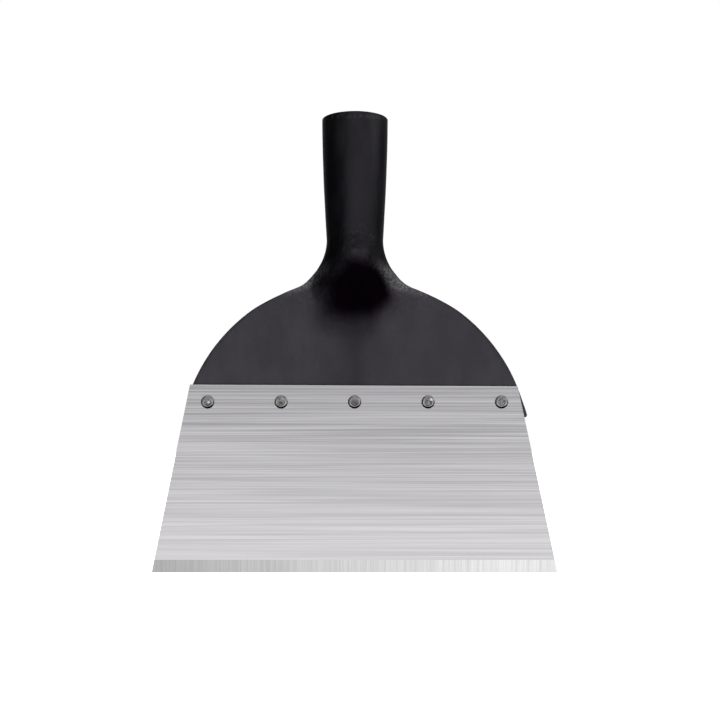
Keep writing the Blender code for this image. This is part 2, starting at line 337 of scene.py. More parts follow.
def rim_rings():
    """Return the rings that round over the rim, from the bore to the outside."""
    turns = spread(0.0, math.pi / 2, EDGE_STEPS)
    inner = [(turn, MOUTH_RADIUS - SOCKET_WALL, 1) for turn in turns]
    outer = [(turn, MOUTH_RADIUS, -1) for turn in reversed(turns)]
    rings = []
    for turn, radius, side in inner + outer:
        inset = RIM_BREAK * (1.0 - math.cos(turn))
        drop = RIM_BREAK * (1.0 - math.sin(turn))
        rings.append(round_ring(drop, radius + side * inset))
    return rings


def head_rings():
    """Return the rings from the bore's floor up to the rim, then down the outside to the plate's end."""
    rings = [round_ring(BORE_DEPTH, BORE_FLOOR_SHARE * (half_width(BORE_DEPTH) - SOCKET_WALL))]
    for level in reversed(spread(2 * RIM_BREAK, BORE_DEPTH, BORE_ROWS)):
        rings.append(round_ring(level, half_width(level) - SOCKET_WALL))
    rings += rim_rings()
    corner_start = PLATE_END_LEVEL - PLATE_CORNER_RADIUS
    levels = spread(2 * RIM_BREAK, NECK_LEVEL, SOCKET_ROWS)
    levels += spread(NECK_LEVEL, FOOT_TIP_LEVEL, NECK_ROWS)[1:]
    levels += spread(FOOT_TIP_LEVEL, corner_start, PLATE_ROWS)[1:]
    for turn in spread(0.0, math.pi / 2, CORNER_ROWS)[1:]:
        levels.append(corner_start + PLATE_CORNER_RADIUS * math.sin(turn))
    for level in levels:
        rings.append(closed_ring(level, quarter_section(level)))
    return rings


def turn_outwards(shape):
    """Make every face of a closed bmesh face outwards."""
    bmesh.ops.recalc_face_normals(shape, faces=shape.faces)
    if shape.calc_volume(signed=True) < 0.0:
        bmesh.ops.reverse_faces(shape, faces=shape.faces)


def join_rings(shape, rings):
    """Skin a list of equal closed rings into a bmesh and return their rows of vertices."""
    rows = [[shape.verts.new(point) for point in ring] for ring in rings]
    around = len(rows[0])
    for upper, lower in zip(rows, rows[1:]):
        for step in range(around):
            after = (step + 1) % around
            shape.faces.new((upper[step], upper[after], lower[after], lower[step]))
    return rows


def skin_rings(shape, rings):
    """Skin a list of equal closed rings into a bmesh and cap both ends."""
    rows = join_rings(shape, rings)
    shape.faces.new(rows[0])
    shape.faces.new(rows[-1])
    turn_outwards(shape)


def forging_relief(place):
    """Return how far the head's surface is pressed in at a place: broad waves and fine hammered grain."""
    waves = WAVE_DEPTH * soft_noise(place * WAVE_SCALE)
    grain = soft_noise(place * GRAIN_SCALE + GRAIN_OFFSET)
    neck = smooth_step(1.0 - abs(place.z - NECK_HEIGHT) / NECK_REACH)
    return waves + (GRAIN_DEPTH + NECK_GRAIN_DEPTH * neck) * grain


def roughen_forging(shape):
    """Press the relief of a forged surface into the mesh, inwards only."""
    shape.normal_update()
    moves = [vertex.normal * -forging_relief(vertex.co) for vertex in shape.verts]
    for vertex, move in zip(shape.verts, moves):
        vertex.co += move


def finish_mesh(name, shape, sharp_degrees=SHARP_DEGREES):
    """Turn a bmesh into a smooth-shaded object in the scene."""
    mesh = bpy.data.meshes.new(name)
    shape.to_mesh(mesh)
    shape.free()
    mesh.shade_smooth()
    mesh.set_sharp_from_angle(angle=math.radians(sharp_degrees))
    item = bpy.data.objects.new(name, mesh)
    bpy.context.scene.collection.objects.link(item)
    return item


def add_mask(item, name, rule):
    """Store a number from 0 to 1 on each vertex, worked out from the vertex's place and normal."""
    mask = item.data.attributes.new(name, "FLOAT", "POINT")
    for index, vertex in enumerate(item.data.vertices):
        mask.data[index].value = rule(vertex.co, vertex.normal)


# ---------------------------------------------------------------- holes


def plate_front():
    """Return the y of the plate's flat front face."""
    return frame_at(PLATE_END_LEVEL)[0].y - PLATE_THICKNESS / 2


def blade_top_height():
    """Return the height of the middle of the blade's top edge."""
    return frame_at(PLATE_END_LEVEL)[0].z + BLADE_LAP


def rivet_places():
    """Return the (x, z) of each rivet, from left to right."""
    first = BLADE_SHIFT - RIVET_PITCH * (RIVET_COUNT - 1) / 2
    height = blade_top_height() - RIVET_BELOW_TOP
    return [(first + RIVET_PITCH * index, height) for index in range(RIVET_COUNT)]


def hole_cutter():
    """Return an object to cut the rivet holes with: a cylinder through the sheets at each rivet."""
    shape = bmesh.new()
    for across, height in rivet_places():
        made = bmesh.ops.create_cone(
            shape,
            cap_ends=True,
            segments=HOLE_SEGMENTS,
            radius1=SHANK_RADIUS + GAP,
            radius2=SHANK_RADIUS + GAP,
            depth=CUTTER_LENGTH,
        )
        for vertex in made["verts"]:
            x, y, z = vertex.co
            vertex.co = (x + across, plate_front() - z, y + height)
    return finish_mesh("rivet_holes", shape)


def cut_holes(item, cutter):
    """Cut the rivet holes out of a sheet and keep the result as its mesh."""
    holes = item.modifiers.new("rivet_holes", "BOOLEAN")
    holes.operation = "DIFFERENCE"
    holes.solver = "EXACT"
    holes.object = cutter
    cut = bpy.data.meshes.new_from_object(item.evaluated_get(bpy.context.evaluated_depsgraph_get()))
    item.modifiers.clear()
    item.data = cut


# ---------------------------------------------------------------- head

# Painted shade across the neck's foot, where its slope faces down: soft on the left and below, harder above
# and at the right.
NECK_SHADE_TOP = -0.0662
NECK_SHADE_TOP_FADE = 0.0114
NECK_SHADE_TOP_TURN = 0.003
NECK_SHADE_TOP_DROP = 0.5
NECK_SHADE_FOOT = -0.1186
NECK_SHADE_FOOT_FADE = 0.0207
NECK_SHADE_FOOT_TURN = 0.0085
NECK_SHADE_FOOT_LIFT = 0.85
NECK_SHADE_LEFT_TOP = -0.0203
NECK_SHADE_LEFT_LOW = -0.0300
NECK_SHADE_LEFT_START = -0.076
NECK_SHADE_LEFT_FADE = 0.0210
NECK_SHADE_RIGHT = 0.0105
NECK_SHADE_RIGHT_LEVEL = -0.0758
NECK_SHADE_RIGHT_LEAN = 0.58
NECK_SHADE_RIGHT_START = -0.085
NECK_SHADE_RIGHT_TOP_FADE = 0.0055
NECK_SHADE_RIGHT_LOW_FADE = 0.0110
NECK_SHADE_SIDE_EASE = 0.012

# How ragged the patch is: (share, noise scale) pairs, then how much of it the foot and left side take.
NECK_SHADE_RAGGED = [(0.09, 420.0), (0.07, 150.0)]
NECK_SHADE_FOOT_RAGGED = 0.4
NECK_SHADE_LEFT_RAGGED = 0.6

# A faint painted shadow of the socket down the plate, thinner towards the blade.
SHADOW_TRAIL_SHARE = 0.38
SHADOW_TRAIL_MIDDLE = -0.0015
SHADOW_TRAIL_HALF_WIDTH = 0.0150
SHADOW_TRAIL_START = -0.060
SHADOW_TRAIL_START_FADE = 0.030
SHADOW_TRAIL_THINS = -0.110
SHADOW_TRAIL_THINS_FADE = 0.020
SHADOW_TRAIL_THIN_SHARE = 0.72

# Faint painted shade on the front of the socket.
SOCKET_SHADE_SHARE = 0.26
SOCKET_SHADE_TOP = -0.004
SOCKET_SHADE_TOP_FADE = 0.060
SOCKET_SHADE_FOOT = -0.082
SOCKET_SHADE_FOOT_FADE = 0.015

# A painted highlight on the flanks of the neck, in lighter grey enamel: each flank's (share, width). It has
# faded out at the end edge and the side edge, which are multiples of the half length and the width.
FLANK_HIGHLIGHT_HEIGHT = -0.0840
FLANK_HIGHLIGHT_HALF_LENGTH = 0.0095
FLANK_HIGHLIGHT_END_EDGE = 1.25
FLANK_HIGHLIGHT_SIDE_EDGE = 1.3
FLANK_HIGHLIGHT_RIGHT = (0.93, 0.0105)
FLANK_HIGHLIGHT_LEFT = (0.7, 0.0060)

# Enamel worn at the mouth and along the plate's outline. The outline is read a little further down, so
# that the wear thins out where the shoulder flares.
MOUTH_WEAR = 0.0016
OUTLINE_WEAR = 0.0008
OUTLINE_READ_BELOW = 0.0009

# The back, where a normal's y is above this, carries no painted shade and no painted highlight.
BACK_FACING = 0.2


def below(place, start, fade):
    """Ease from 0 at the height start to 1 where the place is fade below it."""
    return smooth_step((start - place.z) / fade)


def neck_shade(place):
    """Return how dark the painted shade across the neck's foot is at a place."""
    ragged = sum(share * noise.noise(place * scale) for share, scale in NECK_SHADE_RAGGED)
    top = NECK_SHADE_TOP - NECK_SHADE_TOP_DROP * max(place.x - NECK_SHADE_TOP_TURN, 0.0)
    below_top = smooth_step((top - place.z) / NECK_SHADE_TOP_FADE + ragged)
    foot = NECK_SHADE_FOOT + NECK_SHADE_FOOT_LIFT * max(place.x - NECK_SHADE_FOOT_TURN, 0.0)
    above_foot = smooth_step((place.z - foot) / NECK_SHADE_FOOT_FADE + NECK_SHADE_FOOT_RAGGED * ragged)
    left = between(NECK_SHADE_LEFT_TOP, NECK_SHADE_LEFT_LOW, below(place, NECK_SHADE_LEFT_START, NECK_SHADE_SIDE_EASE))
    from_left = smooth_step((place.x - left) / NECK_SHADE_LEFT_FADE + NECK_SHADE_LEFT_RAGGED * ragged)
    right = NECK_SHADE_RIGHT + NECK_SHADE_RIGHT_LEAN * (NECK_SHADE_RIGHT_LEVEL - place.z)
    lower = below(place, NECK_SHADE_RIGHT_START, NECK_SHADE_SIDE_EASE)
    right_fade = between(NECK_SHADE_RIGHT_TOP_FADE, NECK_SHADE_RIGHT_LOW_FADE, lower)
    from_right = smooth_step(0.5 + (right - place.x) / right_fade + ragged)
    return below_top * above_foot * from_left * from_right


def shadow_trail(place):
    """Return how strong the painted shadow down the plate is at a place."""
    beside = (place.x - SHADOW_TRAIL_MIDDLE) / SHADOW_TRAIL_HALF_WIDTH
    thinning = between(1.0, SHADOW_TRAIL_THIN_SHARE, below(place, SHADOW_TRAIL_THINS, SHADOW_TRAIL_THINS_FADE))
    return SHADOW_TRAIL_SHARE * thinning * math.exp(-2.0 * beside**2) * below(place, SHADOW_TRAIL_START, SHADOW_TRAIL_START_FADE)


def socket_shade(place):
    """Return how strong the painted shade on the front of the socket is at a place."""
    above_foot = smooth_step((place.z - SOCKET_SHADE_FOOT) / SOCKET_SHADE_FOOT_FADE)
    return SOCKET_SHADE_SHARE * below(place, SOCKET_SHADE_TOP, SOCKET_SHADE_TOP_FADE) * above_foot


def painted_shade_rule(place, normal):
    """Return how much painted shade the front carries: a black patch at the neck's foot, a shadow down the
    plate and a faint shade on the socket.
    """
    if normal.y > BACK_FACING:
        return 0.0
    return 1.0 - (1.0 - neck_shade(place)) * (1.0 - shadow_trail(place)) * (1.0 - socket_shade(place))


def flank_highlight_rule(place, normal):
    """Return how strong the painted highlight on the flanks of the neck is, the right one most."""
    if normal.y > BACK_FACING:
        return 0.0
    inset = half_width(-place.z) - abs(place.x)
    along = smooth_step(FLANK_HIGHLIGHT_END_EDGE - abs(place.z - FLANK_HIGHLIGHT_HEIGHT) / FLANK_HIGHLIGHT_HALF_LENGTH)
    share, width = FLANK_HIGHLIGHT_RIGHT if place.x > 0.0 else FLANK_HIGHLIGHT_LEFT
    return share * along * smooth_step(FLANK_HIGHLIGHT_SIDE_EDGE - inset / width)


def wear_rule(place, normal):
    """Return how worn the enamel is: round the socket near its mouth, and along the plate's outline."""
    level = -place.z
    if level <= NECK_LEVEL:
        return smooth_step((MOUTH_WEAR - abs(level)) / MOUTH_WEAR)
    inset = half_width(min(level + OUTLINE_READ_BELOW, PLATE_END_LEVEL)) - abs(place.x)
    return smooth_step((OUTLINE_WEAR - inset) / OUTLINE_WEAR)


def make_head(cutter):
    """Make the socket and plate as one fine mesh."""
    shape = bmesh.new()
    skin_rings(shape, head_rings())
    roughen_forging(shape)
    item = finish_mesh("enamelled_head", shape)
    cut_holes(item, cutter)
    # Masks: painted shade on the front, real wear, and a painted highlight on the neck's flanks.
    add_mask(item, "painted_shade", painted_shade_rule)
    add_mask(item, "wear", wear_rule)
    add_mask(item, "flank_highlight", flank_highlight_rule)
    return item


# ---------------------------------------------------------------- blade

# The ground face looks forwards and down: its normal's y and z lie below these.
GROUND_FACING_Y = -0.9
GROUND_FACING_Z = -0.1


def blade_end(side):
    """Return the five corners of the blade's left (-1) or right (+1) end."""
    back = plate_front() - GAP
    front = back - BLADE_THICKNESS
    top = blade_top_height()
    edge = top - BLADE_HEIGHT + SKIN_INSET
    side_top = top - side * TOP_OUT_OF_SQUARE / 2
    corners = [(back, side_top), (front, side_top), (front, edge + GRIND_HEIGHT)]
    corners += [(back - EDGE_LAND, edge), (back, edge)]
    edge_end = BLADE_SHIFT + side * BLADE_EDGE_WIDTH / 2
    top_end = BLADE_SHIFT + TOP_SHIFT + side * BLADE_TOP_WIDTH / 2
    shares = [(height - edge) / BLADE_HEIGHT for _, height in corners]
    return [Vector((between(edge_end, top_end, share), y, z)) for share, (y, z) in zip(shares, corners)]


def make_blade(cutter):
    """Make the blade; its broken edges are small faces, shaded smooth, and the others stay flat."""
    shape = bmesh.new()
    skin_rings(shape, [blade_end(-1), blade_end(1)])
    limit = math.radians(BLADE_BREAK_DEGREES)
    edges = [edge for edge in shape.edges if edge.calc_face_angle() > limit]
    bmesh.ops.bevel(
        shape, geom=edges, offset=BLADE_EDGE_BREAK, segments=BLADE_BREAK_STEPS, affect="EDGES"
    )
    item = finish_mesh("blade_skin", shape, BLADE_SHARP_DEGREES)
    cut_holes(item, cutter)
    for face in item.data.polygons:
        face.use_smooth = face.area < BROKEN_EDGE_AREA
    return item


def is_ground(face):
    """Return whether a face of the blade is the ground face along the cutting edge."""
    return face.normal.y < GROUND_FACING_Y and face.normal.z < GROUND_FACING_Z


# ---------------------------------------------------------------- rivets

# Painted shade round a front head: a dark crescent underneath that thins up the sides. It reaches in to the
# top reach from the axis above and to the low reach below, and the change begins at the start sine.
SHADE_CRESCENT_TOP_REACH = 0.00335
SHADE_CRESCENT_LOW_REACH = 0.00222
SHADE_CRESCENT_START_SINE = 0.25
SHADE_CRESCENT_FADE = 0.0003
SHADE_CRESCENT_RAGGED = 0.00008
SHADE_CRESCENT_RAGGED_SCALE = 900.0

# The dull middle of a head.
FACE_RADIUS = 0.0021
FACE_FADE = 0.0007

# Polish with a painted highlight past the dent, and a painted highlight on the upper part of a head's rim.
POLISH_PAST_DENT = 1.35
POLISH_RADIUS = 0.0011
POLISH_FADE = 0.0007
RIM_HIGHLIGHT = 0.85
RIM_RADIUS = 0.0023
RIM_FADE = 0.0006
RIM_START_SINE = -0.1
RIM_SINE_FADE = 0.6

# The smallest distance from the axis that a distance is divided by.
NEAR_AXIS = 0.0001


def rivet_profile():
    """Return the rivet's (radius, y) outline about its axis, from the formed front head backwards."""
    head_seat = plate_front() - 2 * GAP - BLADE_THICKNESS
    back_seat = plate_front() + PLATE_THICKNESS + GAP
    crown = head_seat - FORMED_HEAD_HEIGHT
    dimple = crown + DIMPLE_DEPTH
    points = [(DIMPLE_RADIUS * share, dimple) for share in spread(0.0, 1.0, DIMPLE_STEPS)]
    for share in spread(0.0, 1.0, LIP_STEPS)[1:]:
        reach = between(DIMPLE_RADIUS, DIMPLE_LIP_RADIUS, share)
        points.append((reach, crown + DIMPLE_DEPTH * (1.0 - smooth_step(share))))
    for angle in spread(0.0, math.pi / 2, FORMED_HEAD_STEPS)[1:]:
        reach = DIMPLE_LIP_RADIUS + (FORMED_HEAD_RADIUS - DIMPLE_LIP_RADIUS) * math.sin(angle)
        drop = (FORMED_HEAD_HEIGHT - HEAD_SKIRT) * (1.0 - math.cos(angle) ** HEAD_ROUNDING)
        points.append((reach, crown + drop))
    points.append((FORMED_HEAD_RADIUS, head_seat))
    points += [(SHANK_RADIUS, head_seat), (SHANK_RADIUS, back_seat)]
    for angle in spread(0.0, math.pi / 2, FACTORY_HEAD_STEPS):
        reach = FACTORY_HEAD_RADIUS * math.cos(angle)
        points.append((reach, back_seat + FACTORY_HEAD_HEIGHT * math.sin(angle)))
    return points


def turned_ring(reach, y):
    """Return the ring that a point of the rivet's outline makes about its axis."""
    turns = [2 * math.pi * step / RIVET_SEGMENTS for step in range(RIVET_SEGMENTS)]
    return [Vector((reach * math.cos(turn), y, reach * math.sin(turn))) for turn in turns]


def turn_profile(shape, profile):
    """Turn an outline that starts and ends on the axis into a closed surface in a bmesh."""
    rows = join_rings(shape, [turned_ring(reach, y) for reach, y in profile[1:-1]])
    tips = [shape.verts.new((0.0, y, 0.0)) for _, y in (profile[0], profile[-1])]
    for tip, row in zip(tips, (rows[0], rows[-1])):
        for step in range(RIVET_SEGMENTS):
            shape.faces.new((tip, row[step], row[(step + 1) % RIVET_SEGMENTS]))
    turn_outwards(shape)


def press_head(shape, index, dent, middle):
    """Press the relief and the dent into the front head, which lies in front of the middle."""
    for vertex in shape.verts:
        x, y, z = vertex.co
        if y > middle:
            continue
        inside = smooth_step((RELIEF_RADIUS - math.hypot(x, z)) / RELIEF_FADE)
        press = 0.0
        for depth, scale, shift in HEAD_RELIEF:
            press += depth * soft_noise(Vector((x, index * shift, z)) * scale) * inside
        away = math.hypot(x - dent.x, z - dent.z) / DENT_RADIUS
        vertex.co.y = y + press + dent.depth * smooth_step(1.0 - away)


def shade_crescent_rule(place, normal):
    """Return how much painted shade lies at a place: a dark crescent under the front head, thinning up its
    sides.
    """
    if place.y > plate_front():
        return 0.0
    reach = math.hypot(place.x, place.z)
    sine = place.z / max(reach, NEAR_AXIS)
    underneath = smooth_step((SHADE_CRESCENT_START_SINE - sine) / (SHADE_CRESCENT_START_SINE + 1.0))
    ragged = SHADE_CRESCENT_RAGGED * noise.noise(place * SHADE_CRESCENT_RAGGED_SCALE)
    start = between(SHADE_CRESCENT_TOP_REACH, SHADE_CRESCENT_LOW_REACH, underneath)
    return smooth_step((reach + ragged - start) / SHADE_CRESCENT_FADE)


def face_rule(place, normal):
    """Return 1 in the dull middle of the front and rear heads and 0 outside it."""
    return smooth_step((FACE_RADIUS - math.hypot(place.x, place.z)) / FACE_FADE)


def polish_and_highlight_rule(dent):
    """Return the mask rule for how bright both heads are: polish with a painted highlight past the dent, and
    a painted highlight on the upper rim.
    """

    def rule(place, normal):
        away = math.hypot(place.x - POLISH_PAST_DENT * dent.x, place.z - POLISH_PAST_DENT * dent.z)
        past_dent = dent.polish * smooth_step((POLISH_RADIUS - away) / POLISH_FADE)
        reach = max(math.hypot(place.x, place.z), NEAR_AXIS)
        upper = smooth_step((place.z / reach - RIM_START_SINE) / RIM_SINE_FADE)
        return max(past_dent, RIM_HIGHLIGHT * upper * smooth_step((reach - RIM_RADIUS) / RIM_FADE))

    return rule


def make_rivet(index, across, height, dent):
    """Make one rivet at a place (across, height), with its own relief and dent."""
    profile = rivet_profile()
    shape = bmesh.new()
    turn_profile(shape, profile)
    press_head(shape, index, dent, sum(y for _, y in profile) / len(profile))
    item = finish_mesh(f"rivet_skin_{index}", shape, RIVET_SHARP_DEGREES)
    # Masks: painted shade under the head, the dull face, and polish with painted highlights.
    add_mask(item, "shade_crescent", shade_crescent_rule)
    add_mask(item, "face", face_rule)
    add_mask(item, "polish", polish_and_highlight_rule(dent))
    item.data.transform(Matrix.Translation((across, 0.0, height)))
    return item


# ---------------------------------------------------------------- shader helpers

# Most of a noise's values lie in the narrow band, and nearly all in the wide one.
NOISE_BAND = (0.36, 0.64)
WIDE_NOISE_BAND = (0.3, 0.7)


class Nodes:
    """Short calls for building a node tree."""

    def __init__(self, tree):
        self.tree = tree

    def add(self, kind, **settings):
        """Add a node and set its properties."""
        made = self.tree.nodes.new(kind)
        for key, value in settings.items():
            setattr(made, key, value)
        return made

    def feed(self, socket, value):
        """Link an output to a socket, or set the socket's own value."""
        if isinstance(value, bpy.types.NodeSocket):
            self.tree.links.new(value, socket)
        else:
            socket.default_value = value

    def math(self, operation, first, second=0.0, third=0.0):
        """Return the result of one Math node."""
        made = self.add("ShaderNodeMath", operation=operation)
        for socket, value in zip(made.inputs, (first, second, third)):
            self.feed(socket, value)
        return made.outputs[0]

    def remap(self, value, source, target=(0.0, 1.0), ease="SMOOTHSTEP"):
        """Map a (low, high) range to another, clamped, with a smooth ease unless told otherwise."""
        made = self.add("ShaderNodeMapRange", interpolation_type=ease)
        for socket, item in zip(made.inputs, (value, *source, *target)):
            self.feed(socket, item)
        return made.outputs["Result"]

    def split(self, vector):
        """Return the X, Y and Z outputs of a vector."""
        made = self.add("ShaderNodeSeparateXYZ")
        self.feed(made.inputs[0], vector)
        return made.outputs


class MaterialNodes(Nodes):
    """Short calls for building one material's node tree."""

    def __init__(self, name):
        self.material = bpy.data.materials.new(name)
        self.material.use_nodes = True
        super().__init__(self.material.node_tree)
        self.inputs = self.tree.nodes["Principled BSDF"].inputs
        self.place = self.add("ShaderNodeTexCoord").outputs["Object"]

    def stretch(self, scale, offset=(0.0, 0.0, 0.0)):
        """Return the object's coordinates, scaled along each axis."""
        made = self.add("ShaderNodeMapping")
        self.feed(made.inputs["Vector"], self.place)
        made.inputs["Scale"].default_value = scale
        made.inputs["Location"].default_value = offset
        return made.outputs["Vector"]

    def noise(self, vector, scale, detail=2.0, roughness=0.5):
        """Return a noise value between 0 and 1."""
        made = self.add("ShaderNodeTexNoise")
        self.feed(made.inputs["Vector"], vector)
        made.inputs["Scale"].default_value = scale
        made.inputs["Detail"].default_value = detail
        made.inputs["Roughness"].default_value = roughness
        return made.outputs["Fac"]

    def blend(self, *parts):
        """Return the weighted sum of (value, weight) pairs."""
        total = 0.0
        for value, weight in parts:
            total = self.math("MULTIPLY_ADD", value, weight, total)
        return total

    def mix(self, share, first, second):
        """Return the blend of two colours."""
        made = self.add("ShaderNodeMix", data_type="RGBA")
        self.feed(made.inputs[0], share)
        self.feed(made.inputs[6], first)
        self.feed(made.inputs[7], second)
        return made.outputs[2]

    def mask(self, name):
        """Return a vertex mask of the mesh."""
        return self.add("ShaderNodeAttribute", attribute_name=name).outputs["Fac"]

    def bump(self, height, strength, distance, under=None):
        """Return a normal from a height, optionally on top of another normal."""
        made = self.add("ShaderNodeBump")
        self.feed(made.inputs["Strength"], strength)
        made.inputs["Distance"].default_value = distance
        self.feed(made.inputs["Height"], height)
        if under is not None:
            self.feed(made.inputs["Normal"], under)
        return made.outputs["Normal"]


# ---------------------------------------------------------------- materials

# Colours are linear red, green and blue, then alpha.
ENAMEL_DARK = (0.0032, 0.0028, 0.0038, 1.0)
ENAMEL_LIGHT = (0.0075, 0.0069, 0.0084, 1.0)
ENAMEL_TINT = (0.92, 0.86, 1.0, 1.0)
BARE_STEEL = (0.055, 0.052, 0.050, 1.0)
# Lighter grey of the painted highlight on the neck's flanks.
FLANK_HIGHLIGHT_GREY = (0.30, 0.295, 0.305, 1.0)
# Near-black of the painted shade across the front.
SHADE_BLACK = (0.0030, 0.0014, 0.0034, 1.0)
BRUSHED_DARK = (0.45, 0.440, 0.456, 1.0)
BRUSHED_LIGHT = (0.71, 0.698, 0.717, 1.0)
GROUND_DARK = (0.72, 0.72, 0.72, 1.0)
GROUND_LIGHT = (0.90, 0.90, 0.91, 1.0)
RIVET_DARK = (0.22, 0.22, 0.22, 1.0)
RIVET_LIGHT = (0.50, 0.49, 0.49, 1.0)
RIVET_FACE_DARK = (0.09, 0.09, 0.09, 1.0)
RIVET_FACE_LIGHT = (0.36, 0.35, 0.35, 1.0)
# Bright steel of the polish and painted highlights on the heads.
RIVET_POLISH_AND_HIGHLIGHT = (0.92, 0.91, 0.91, 1.0)
# Black of the painted shade under the front heads.
SHADE_CRESCENT_BLACK = (0.003, 0.003, 0.003, 1.0)
PAPER_DARK = (0.90, 0.90, 0.90, 1.0)
PAPER_LIGHT = (0.93, 0.93, 0.93, 1.0)

# The neck is chipped and rougher: it fades in above its foot and out below the socket.
NECK_FOOT_BAND = (-0.108, -0.088)
NECK_TOP_BAND = (-0.066, -0.045)

# How far each layer of streaks is shifted from the one before, so that they don't line up.
LAYER_SHIFT = (0.31, 0.0, 0.17)


def enamel_material():
    """Black enamel over forged steel: mottled, finely grained and chipped, with a painted highlight on the
    neck's flanks and painted shade on the front.
    """
    nodes = MaterialNodes("black_enamel")
    height = nodes.split(nodes.place)["Z"]
    below_socket = nodes.remap(height, NECK_TOP_BAND, (1.0, 0.0))
    neck = nodes.math("MULTIPLY", nodes.remap(height, NECK_FOOT_BAND), below_socket)
    painted_shade = nodes.mask("painted_shade")
    flank_highlight = nodes.mask("flank_highlight")

    mottle = nodes.noise(nodes.stretch((1.0, 1.0, 0.4)), scale=95.0, detail=4.0, roughness=0.6)
    cloud = nodes.noise(nodes.place, scale=26.0, detail=3.0)
    grain = nodes.noise(nodes.place, scale=1500.0, detail=3.0, roughness=0.6)
    pits = nodes.noise(nodes.stretch((1.0, 1.0, 0.7)), scale=520.0, detail=3.0, roughness=0.6)
    chips = nodes.noise(nodes.place, scale=800.0)
    speckle = nodes.noise(nodes.place, scale=1150.0, roughness=0.6)

    tone = nodes.blend((mottle, 0.6), (cloud, 0.4))
    enamel = nodes.mix(nodes.remap(tone, NOISE_BAND), ENAMEL_DARK, ENAMEL_LIGHT)
    chip_share = nodes.math("MULTIPLY_ADD", neck, 0.8, 0.1)
    chipped = nodes.math("MULTIPLY", nodes.remap(chips, (0.67, 0.72)), chip_share)
    worn = nodes.math("MULTIPLY", nodes.mask("wear"), nodes.remap(pits, (0.42, 0.62), (0.0, 0.8)))
    chipped_enamel = nodes.mix(nodes.math("MAXIMUM", chipped, worn), enamel, BARE_STEEL)
    # A painted highlight on the neck's flanks: speckled lighter grey enamel.
    speckled = nodes.math("MULTIPLY", flank_highlight, nodes.remap(speckle, (0.36, 0.70), (0.12, 0.95)))
    highlighted_enamel = nodes.mix(speckled, chipped_enamel, FLANK_HIGHLIGHT_GREY)
    # Painted shade, near-black, over the front.
    nodes.feed(nodes.inputs["Base Color"], nodes.mix(painted_shade, highlighted_enamel, SHADE_BLACK))

    # The painted shade gives back hardly any light: its near-black colour is made metallic to dull its
    # reflection.
    nodes.feed(nodes.inputs["Metallic"], painted_shade)
    nodes.inputs["Specular IOR Level"].default_value = 0.85
    nodes.inputs["Specular Tint"].default_value = ENAMEL_TINT
    satin = nodes.remap(mottle, WIDE_NOISE_BAND, (0.38, 0.50))
    nodes.feed(nodes.inputs["Roughness"], nodes.math("MULTIPLY_ADD", flank_highlight, -0.18, satin))

    pit_strength = nodes.math("MULTIPLY_ADD", neck, 0.75, 0.10)
    pit_strength = nodes.math("MULTIPLY_ADD", flank_highlight, 0.15, pit_strength)
    pitted = nodes.bump(pits, pit_strength, distance=0.00030)
    nodes.feed(nodes.inputs["Normal"], nodes.bump(grain, 0.20, distance=0.00004, under=pitted))
    return nodes.material


def streaked_steel(name, streaks, colours, roughness, relief, axis, reach, painted_light, contrast):
    """Steel whose colour, roughness and relief follow long streaks.

    Streaks lists each layer's (scale, weight). Colours and roughness go from the dark streaks to the light
    ones. Reach is two places along the axis; painted_light is the painted light and shade there, as a factor
    on the colour, and contrast how strongly the streaks show there.
    """
    nodes = MaterialNodes(name)
    along = nodes.split(nodes.place)[axis]
    layers = []
    for index, (scale, weight) in enumerate(streaks):
        vector = nodes.stretch(scale, [index * step for step in LAYER_SHIFT])
        layers.append((nodes.noise(vector, scale=1.0, detail=3.0, roughness=0.55), weight))
    tone = nodes.blend(*layers)
    centred = nodes.math("SUBTRACT", nodes.remap(tone, NOISE_BAND), 0.5)
    share = nodes.math("MULTIPLY_ADD", centred, nodes.remap(along, reach, contrast), 0.5)
    # Painted light and shade: the colour is scaled from one end of the reach to the other.
    toned = nodes.add("ShaderNodeVectorMath", operation="SCALE")
    nodes.feed(toned.inputs[0], nodes.mix(share, *colours))
    nodes.feed(toned.inputs["Scale"], nodes.remap(along, reach, painted_light, ease="LINEAR"))
    nodes.inputs["Metallic"].default_value = 1.0
    nodes.feed(nodes.inputs["Base Color"], toned.outputs[0])
    nodes.feed(nodes.inputs["Roughness"], nodes.remap(tone, WIDE_NOISE_BAND, roughness))
    nodes.feed(nodes.inputs["Normal"], nodes.bump(layers[0][0], relief, distance=0.00003))
    return nodes.material


def blade_material():
    """Steel brushed along the blade's width, more streaked towards the rivets, with painted shade darker
    towards the rivets and painted light brighter towards the edge.
    """
    return streaked_steel(
        "brushed_steel",
        streaks=[((7.0, 1.0, 2300.0), 0.52), ((4.0, 1.0, 900.0), 0.36), ((2.5, 1.0, 160.0), 0.12)],
        colours=(BRUSHED_DARK, BRUSHED_LIGHT),
        roughness=(0.40, 0.33),
        relief=0.10,
        axis="Z",
        reach=(-0.1395, -0.2300),
        painted_light=(0.82, 1.20),
        contrast=(1.15, 0.50),
    )


def ground_material():
    """Steel ground across the edge, with short upright marks, and painted shade darker towards the left."""
    return streaked_steel(
        "ground_edge",
        streaks=[((1500.0, 1.0, 16.0), 0.55), ((480.0, 1.0, 9.0), 0.30), ((60.0, 1.0, 4.0), 0.15)],
        colours=(GROUND_DARK, GROUND_LIGHT),
        roughness=(0.42, 0.32),
        relief=0.12,
        axis="X",
        reach=(-0.1000, 0.0600),
        painted_light=(0.58, 1.07),
        contrast=(0.70, 0.80),
    )


